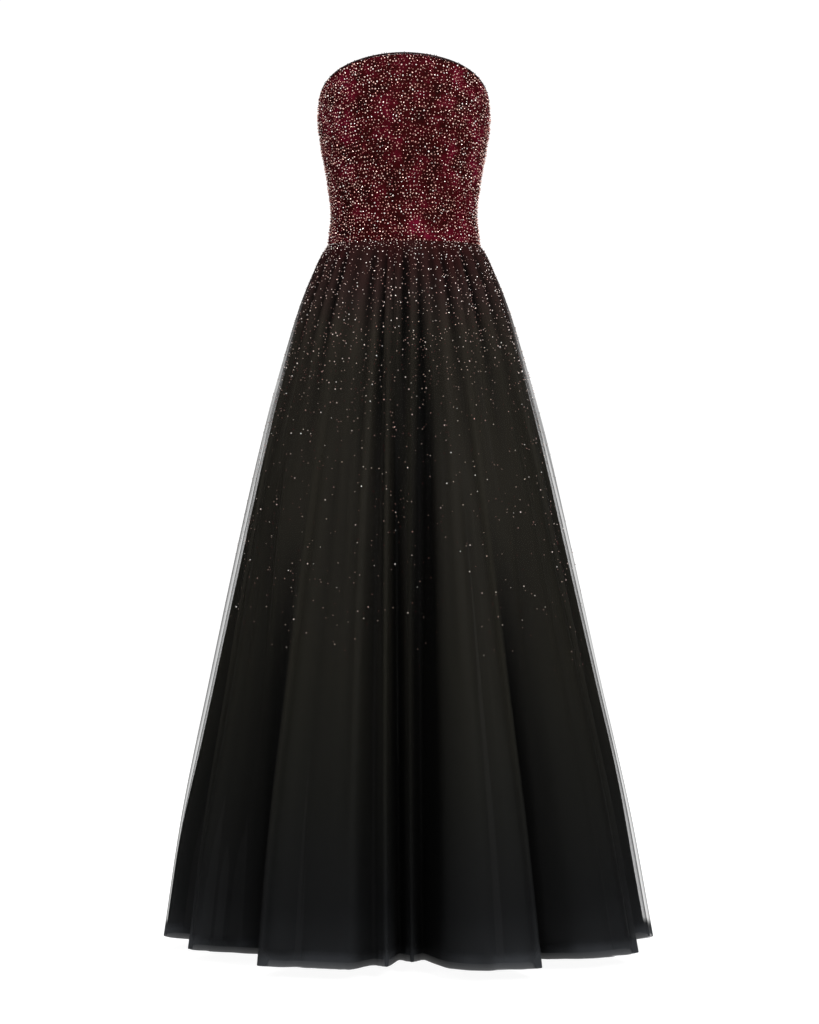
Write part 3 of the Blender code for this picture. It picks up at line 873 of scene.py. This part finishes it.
def bead_scatter():
    """Points spread over a cloth by its bead_density, each with a faceted bead of its own size and tone."""
    tree, given = geometry_tree(
        "bead_scatter",
        Beads_per_Square_Metre="Float",
        Closest_Beads="Float",
        Smallest_Radius="Float",
        Largest_Radius="Float",
        Seed="Int",
        Glass="Material",
    )
    a_number = {"data_type": "FLOAT"}
    density = add_node(tree, "GeometryNodeInputNamedAttribute", a_number, Name="bead_density")
    spread = add_node(
        tree,
        "GeometryNodeDistributePointsOnFaces",
        {"distribute_method": "POISSON"},
        Mesh=given["Geometry"],
        Distance_Min=given["Closest Beads"],
        Density_Max=given["Beads per Square Metre"],
        Density_Factor=density.outputs["Attribute"],
        Seed=given["Seed"],
    )
    radius = add_node(
        tree,
        "FunctionNodeRandomValue",
        a_number,
        _2=given["Smallest Radius"],
        _3=given["Largest Radius"],
        Seed=given["Seed"],
    )
    scale, out = {"operation": "SCALE"}, spread.outputs["Normal"]
    lift = add_node(tree, "ShaderNodeVectorMath", scale, _0=out, Scale=radius.outputs[1])
    points = spread.outputs["Points"]
    lifted = add_node(tree, "GeometryNodeSetPosition", Geometry=points, Offset=lift.outputs[0])
    bead = add_node(tree, "GeometryNodeMeshIcoSphere", Radius=1.0, Subdivisions=1)
    turned = add_node(
        tree,
        "FunctionNodeRandomValue",
        {"data_type": "FLOAT_VECTOR"},
        _0=(0, 0, 0),
        _1=(math.tau,) * 3,
        Seed=TURN_SEED,
    )
    placed = add_node(
        tree,
        "GeometryNodeInstanceOnPoints",
        Points=lifted.outputs[0],
        Instance=bead.outputs["Mesh"],
        Rotation=turned.outputs[0],
        Scale=radius.outputs[1],
    )
    tone = add_node(tree, "FunctionNodeRandomValue", a_number, _2=0.0, _3=1.0, Seed=TONE_SEED)
    toned = add_node(
        tree,
        "GeometryNodeStoreNamedAttribute",
        {"data_type": "FLOAT", "domain": "INSTANCE"},
        Geometry=placed.outputs[0],
        Name="bead_tone",
        Value=tone.outputs[1],
    )
    finish_tree(tree, toned.outputs[0], given["Glass"])
    return tree


def grown(name, ground, tree, **choices):
    """What a node tree makes of a mesh, as a plain piece. choices are the tree's named inputs."""
    carrier = piece(name + "_ground", ground)
    grower = carrier.modifiers.new("grower", "NODES")
    grower.node_group = tree
    inputs = {item.name: item.identifier for item in tree.interface.items_tree if item.in_out == "INPUT"}
    for label, value in choices.items():
        grower[inputs[label.replace("_", " ")]] = value
    graph = bpy.context.evaluated_depsgraph_get()
    mesh = bpy.data.meshes.new_from_object(carrier.evaluated_get(graph))
    mesh.name = name
    bpy.data.objects.remove(carrier)
    made = piece(name, mesh)
    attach(made, "root")
    return made


CRYSTAL_TONES = (
    (0.00, (0.300, 0.100, 0.095)),
    (0.20, (0.520, 0.250, 0.210)),
    (0.42, (0.780, 0.470, 0.400)),
    (0.66, (0.960, 0.700, 0.620)),
    (0.88, (1.000, 0.900, 0.840)),
)
SEED_TONES = (
    (0.00, (0.034, 0.002, 0.003)),
    (0.28, (0.130, 0.004, 0.016)),
    (0.46, (0.006, 0.002, 0.002)),
    (0.58, (0.200, 0.054, 0.052)),
    (0.78, (0.380, 0.165, 0.145)),
    (0.92, (0.650, 0.370, 0.310)),
)
SKIRT_SEED_TONES = (
    (0.00, (0.090, 0.020, 0.022)),
    (0.18, (0.240, 0.130, 0.115)),
    (0.48, (0.420, 0.290, 0.250)),
    (0.78, (0.700, 0.540, 0.460)),
    (0.93, (0.950, 0.830, 0.740)),
)
SKIRT_CRYSTAL_TONES = (
    (0.00, (0.460, 0.280, 0.250)),
    (0.22, (0.720, 0.540, 0.500)),
    (0.50, (0.950, 0.800, 0.750)),
    (0.80, (1.000, 0.950, 0.920)),
)
MOST_BEADS = 150000.0  # tried on a square metre, before those too close to others are left out
bead_tree = bead_scatter()
crystal_glass = glass_beads("crystal_glass", CRYSTAL_TONES, 0.4)
seed_glass = glass_beads("seed_glass", SEED_TONES, 0.1)


def sew_beads(name, ground, beaded, closest, radii, seed, glass):
    """Beads over a ground, with the share of the places that are beaded at each of its points."""
    store(ground, "bead_density", beaded)
    grown(
        name,
        ground,
        bead_tree,
        Beads_per_Square_Metre=MOST_BEADS,
        Closest_Beads=closest,
        Smallest_Radius=radii[0],
        Largest_Radius=radii[1],
        Seed=seed,
        Glass=glass,
    )


BODICE_BEADS = (
    # kind, closest, smallest and largest radius, share of the places beaded, glass
    ("crystals", 0.0042, (0.00070, 0.00145), 0.88, crystal_glass),
    ("seed_beads", 0.0030, (0.00055, 0.00100), 0.90, seed_glass),
)
for seed, (panel, points) in enumerate(bodice_faces.items(), BODICE_SEED):
    for kind, closest, radii, share, glass in BODICE_BEADS:
        name = "bodice_" + panel + "_" + kind
        ground = cloth_mesh(name, points)
        sew_beads(name, ground, np.full(len(ground.vertices), share), closest, radii, seed, glass)

EDGE_CLOSEST, EDGE_RADII = 0.0036, (0.0005, 0.0009)
edging = binding.data.copy()
all_over = np.ones(len(edging.vertices))
sew_beads("top_binding_beads", edging, all_over, EDGE_CLOSEST, EDGE_RADII, BINDING_SEED, seed_glass)

SKIRT_BEADING = (
    # drop, share of the places that are beaded, with crystals and with seed beads
    (0.000, 0.800, 0.700),
    (0.012, 0.640, 0.560),
    (0.025, 0.400, 0.430),
    (0.050, 0.330, 0.400),
    (0.090, 0.240, 0.330),
    (0.140, 0.110, 0.290),
    (0.200, 0.045, 0.240),
    (0.270, 0.024, 0.130),
    (0.360, 0.016, 0.070),
    (0.450, 0.013, 0.055),
    (0.570, 0.009, 0.040),
    (0.640, 0.002, 0.016),
    (0.690, 0.000, 0.000),
)
crystals_at, seeds_at = columns_of(SKIRT_BEADING)
skirt_crystal_glass = glass_beads("skirt_crystal_glass", SKIRT_CRYSTAL_TONES, 0.5)
skirt_seed_glass = glass_beads("skirt_seed_glass", SKIRT_SEED_TONES, 0.1)
SKIRT_BEADS = (
    # kind, closest, smallest and largest radius, share beaded at each drop, glass
    ("crystals", 0.0046, (0.00055, 0.00110), crystals_at, skirt_crystal_glass),
    ("seed_beads", 0.0040, (0.00050, 0.00080), seeds_at, skirt_seed_glass),
)
for seed, (panel, (points, uv)) in enumerate(tulle_faces.items(), SKIRT_SEED):
    for kind, closest, radii, share_at, glass in SKIRT_BEADS:
        name = "skirt_" + panel + "_" + kind
        ground = cloth_mesh(name, points)
        sew_beads(name, ground, share_at(uv[..., 1]), closest, radii, seed, glass)

# Stitches
# Sewing thread: slip stitches inside the binding, gathering stitches inside the waist seam, and machine
# stitches beside the bodice's seams and zip and round the lining's hem.
THREAD_RADIUS = 0.00022
SEAM_ALLOWANCE = math.radians(2.3)
ZIP_ALLOWANCE = math.radians(3.6)
ENDS_AT_ZIP = 176  # degrees from the front at which the stitches round the bodice end
BINDING_STITCHED_AT, WAIST_STITCHED_AT = 0.995, 0.02  # shares of the way up the bodice
SEAM_STITCHES_FROM, SEAM_STITCHES_TO = 0.03, 0.97


def thread(name, dark, light):
    """Twisted thread, a little lighter in small random patches: painted highlights along it."""
    made, tree, shader = new_finish(name, 0.6)
    twist_highlight = noise(tree, place_in(tree), Scale=900.0, Detail=1.0)
    paint(tree, shader, ramp(tree, twist_highlight, ((0.4, dark), (0.6, light))))
    return made


def stitch_run():
    """Stitches along the lines of a mesh, one to each pitch."""
    tree, given = geometry_tree(
        "stitch_run", Pitch="Float", Half_Length="Float", Thickness="Float", Thread="Material"
    )
    line = add_node(tree, "GeometryNodeMeshToCurve", Mesh=given["Geometry"]).outputs[0]
    by_length = {"mode": "LENGTH"}
    spots = add_node(tree, "GeometryNodeCurveToPoints", by_length, Curve=line, Length=given["Pitch"])
    across, along = given["Thickness"], given["Half Length"]
    size = add_node(tree, "ShaderNodeCombineXYZ", X=across, Y=across, Z=along)
    stitch = add_node(tree, "GeometryNodeMeshIcoSphere", Radius=1.0, Subdivisions=1)
    placed = add_node(
        tree,
        "GeometryNodeInstanceOnPoints",
        Points=spots.outputs["Points"],
        Instance=stitch.outputs["Mesh"],
        Rotation=spots.outputs["Rotation"],
        Scale=size.outputs[0],
    )
    finish_tree(tree, placed.outputs[0], given["Thread"])
    return tree


def line_mesh(name, lines):
    """Open lines of points as one mesh of edges."""
    edges, start = [], 0
    for line in lines:
        index = np.arange(start, start + len(line))
        edges.append(np.stack([index[:-1], index[1:]], axis=-1))
        start += len(line)
    mesh = bpy.data.meshes.new(name)
    mesh.from_pydata(np.concatenate(lines).tolist(), np.concatenate(edges).tolist(), [])
    return mesh


def inside_bodice(turns, shares):
    """Places on the inner face of the bodice."""
    points, _, outward = framed(bodice_point, turns, shares)
    return points - outward * (BODICE_WALL + THREAD_RADIUS / 2)


clear_of_zip = np.radians(np.linspace(-ENDS_AT_ZIP, ENDS_AT_ZIP, 2 * ENDS_AT_ZIP + 1))
binding_line = inside_bodice(clear_of_zip, np.array([BINDING_STITCHED_AT]))[0]
waist_line = inside_bodice(clear_of_zip, np.array([WAIST_STITCHED_AT]))[0]
seam_shares = np.linspace(SEAM_STITCHES_FROM, SEAM_STITCHES_TO, 60)
seams = [math.radians(first) for _, first, *_ in BODICE_PANELS if first != -180]
beside_seams = [seam + side for seam in seams for side in (-SEAM_ALLOWANCE, SEAM_ALLOWANCE)]
seam_lines = [inside_bodice(np.array([turn]), seam_shares)[:, 0] for turn in beside_seams]
beside_zip = [math.pi - ZIP_ALLOWANCE, math.pi + ZIP_ALLOWANCE]
zip_lines = [inside_bodice(np.array([turn]), seam_shares)[:, 0] for turn in beside_zip]
hem_rows = np.linspace(0, len(FOLDS), len(FOLDS) * LINING_COLUMNS + 1)
hem_line, _, way_out = framed(lining_point, hem_rows, np.array([LINING_LENGTH - LINING_HEM]))
burgundy_thread = thread("burgundy_thread", (0.016, 0.003, 0.004), (0.045, 0.009, 0.012))
black_thread = thread("black_thread", (0.004, 0.004, 0.004), (0.014, 0.014, 0.014))
STITCHES = (
    # name, lines, pitch, half length, thread
    ("binding_stitches", [binding_line], 0.0050, 0.0012, burgundy_thread),
    ("waist_stitches", [waist_line], 0.0024, 0.0009, burgundy_thread),
    ("seam_stitches", seam_lines, 0.0024, 0.0009, burgundy_thread),
    ("zip_stitches", zip_lines, 0.0024, 0.0009, burgundy_thread),
    ("lining_hem_stitches", [(hem_line + way_out * THREAD_RADIUS / 2)[0]], 0.0026, 0.0010, black_thread),
)
stitch_tree = stitch_run()
for name, lines, pitch, half_length, finish in STITCHES:
    grown(
        name,
        line_mesh(name, lines),
        stitch_tree,
        Pitch=pitch,
        Half_Length=half_length,
        Thickness=THREAD_RADIUS,
        Thread=finish,
    )

# Zip
# An invisible zip at the centre back. The slider and its pull are enamelled metal. The coil is wound nylon,
# sewn in behind the edges of the back panels and down into the skirt.
COIL_RADIUS, COIL_WIRE, COIL_PITCH = 0.00090, 0.00028, 0.0013
BEHIND_BODICE, BEHIND_LINING = 0.0041, 0.0030  # from the cloth's face in to the middle of the coil
COIL_TURN_STEPS, COIL_SIDES = 10, 5
UPPER_ENDS, LOWER_STARTS = 0.1, 0.005  # share of the bodice's height, and drop: the coil bridges the waist


def enamel():
    """Burgundy enamel on metal, worn a little brighter in patches."""
    made, tree, shader = new_finish("zip_enamel", 0.32, metallic=0.7)
    worn = noise(tree, place_in(tree), Scale=600.0, Detail=3.0)
    paint(tree, shader, ramp(tree, worn, ((0.4, (0.045, 0.010, 0.014)), (0.7, (0.11, 0.05, 0.055)))))
    return made


zip_finish = enamel()
for name in ("zip_slider", "zip_pull"):
    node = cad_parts[name]
    node.data.materials.clear()
    node.data.materials.append(zip_finish)


def coil_nylon():
    """Burgundy nylon of the coil."""
    made, tree, shader = new_finish("coil_nylon", 0.35)
    dyed = noise(tree, place_in(tree), Scale=220.0, Detail=2.0)
    paint(tree, shader, ramp(tree, dyed, ((0.4, (0.018, 0.004, 0.006)), (0.7, (0.034, 0.008, 0.011)))))
    return made


coil_low, coil_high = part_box("zip_coil")
shares = np.linspace(coil_high.z / TOP_BACK, UPPER_ENDS, 40)
behind_back, _, way_out = framed(bodice_point, np.array([math.pi]), shares)
upper_line = (behind_back - way_out * BEHIND_BODICE)[:, 0]
zip_drops = np.linspace(LOWER_STARTS, -coil_low.z, 24)
behind_skirt, _, way_out = framed(lining_point, np.array([0.0]), zip_drops)
lower_line = (behind_skirt - way_out * BEHIND_LINING)[:, 0]
coil_line = np.concatenate([upper_line, lower_line])
walked = np.concatenate([[0], np.cumsum(np.linalg.norm(np.diff(coil_line, axis=0), axis=1))])
steps = np.arange(0, walked[-1], COIL_PITCH / COIL_TURN_STEPS)
middle = np.stack([np.interp(steps, walked, coil_line[:, axis]) for axis in range(3)], axis=-1)
turning = 2 * math.pi * steps / COIL_PITCH
wound = middle + COIL_RADIUS * np.stack([np.cos(turning), np.sin(turning), np.zeros(len(steps))], axis=-1)
coil = piece("zip_coil_wire", tube_mesh("zip_coil_wire", wound, COIL_WIRE, COIL_SIDES), coil_nylon())
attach(coil, "root")
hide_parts("zip_coil")

# Studio
# A white floor just under the hem, white all round, and large soft lamps. The camera stands level with the
# middle of the gown.
FLOOR_DROP, FLOOR_REACH = 0.02, 3.9
LAMPS_AIM = -0.35  # height on the gown's axis that the lamps point at
CAMERA_DISTANCE = 4.2
CAMERA_HEIGHT = -0.433
CAMERA_ASIDE = 0.009
PIXELS_PER_METRE = 613.7
PICTURE_HEIGHT = 1024
SENSOR = 36.0

floor_mesh = bpy.data.meshes.new("floor")
ground = cad_box[0].z - FLOOR_DROP
ways = ((-1, -1), (1, -1), (1, 1), (-1, 1))
corners = [(FLOOR_REACH * x, FLOOR_REACH * y, ground) for x, y in ways]
floor_mesh.from_pydata(corners, [], [(0, 1, 2, 3)])
white, _, white_shader = new_finish("white_floor", 0.9)
white_shader.inputs["Base Color"].default_value = (0.2, 0.2, 0.2, 1)
white_shader.inputs["Emission Color"].default_value = (1, 1, 1, 1)
white_shader.inputs["Emission Strength"].default_value = 0.94
floor = piece("floor", floor_mesh, white)

world = bpy.data.worlds.new("studio")
bpy.context.scene.world = world
world.use_nodes = True
air = world.node_tree
seen = add_node(air, "ShaderNodeLightPath").outputs["Is Camera Ray"]
strength = add_node(air, "ShaderNodeMapRange", Value=seen, To_Min=0.30, To_Max=1.05)
air.links.new(strength.outputs[0], air.nodes["Background"].inputs["Strength"])
air.nodes["Background"].inputs["Color"].default_value = (1, 1, 1, 1)

LAMPS = (
    # name, place, size, watts
    ("key", (2.0, -3.4, 1.4), 1.4, 130.0),
    ("fill", (-2.6, -2.8, 0.9), 1.6, 45.0),
    ("top", (0.0, -0.6, 3.2), 2.0, 70.0),
    ("behind", (0.6, 3.4, 1.6), 1.8, 70.0),
)
for name, place, size, watts in LAMPS:
    data = bpy.data.lights.new(name, "AREA")
    data.shape = "SQUARE"
    data.size = size
    data.energy = watts
    lamp = bpy.data.objects.new(name, data)
    lamp.location = place
    aim = lamp.location.copy()
    aim.z -= LAMPS_AIM
    lamp.rotation_euler = aim.to_track_quat("Z", "Y").to_euler()
    bpy.context.scene.collection.objects.link(lamp)

camera_data = bpy.data.cameras.new("camera")
camera_data.sensor_width = SENSOR
camera_data.lens = PIXELS_PER_METRE * CAMERA_DISTANCE / PICTURE_HEIGHT * SENSOR
camera = bpy.data.objects.new("camera", camera_data)
camera.location = (CAMERA_ASIDE, -CAMERA_DISTANCE, CAMERA_HEIGHT)
camera.rotation_euler = (math.pi / 2, 0, 0)
bpy.context.scene.collection.objects.link(camera)
bpy.context.scene.camera = camera
bpy.context.scene.view_settings.view_transform = "Standard"
bpy.context.scene.cycles.transparent_max_bounces = 24
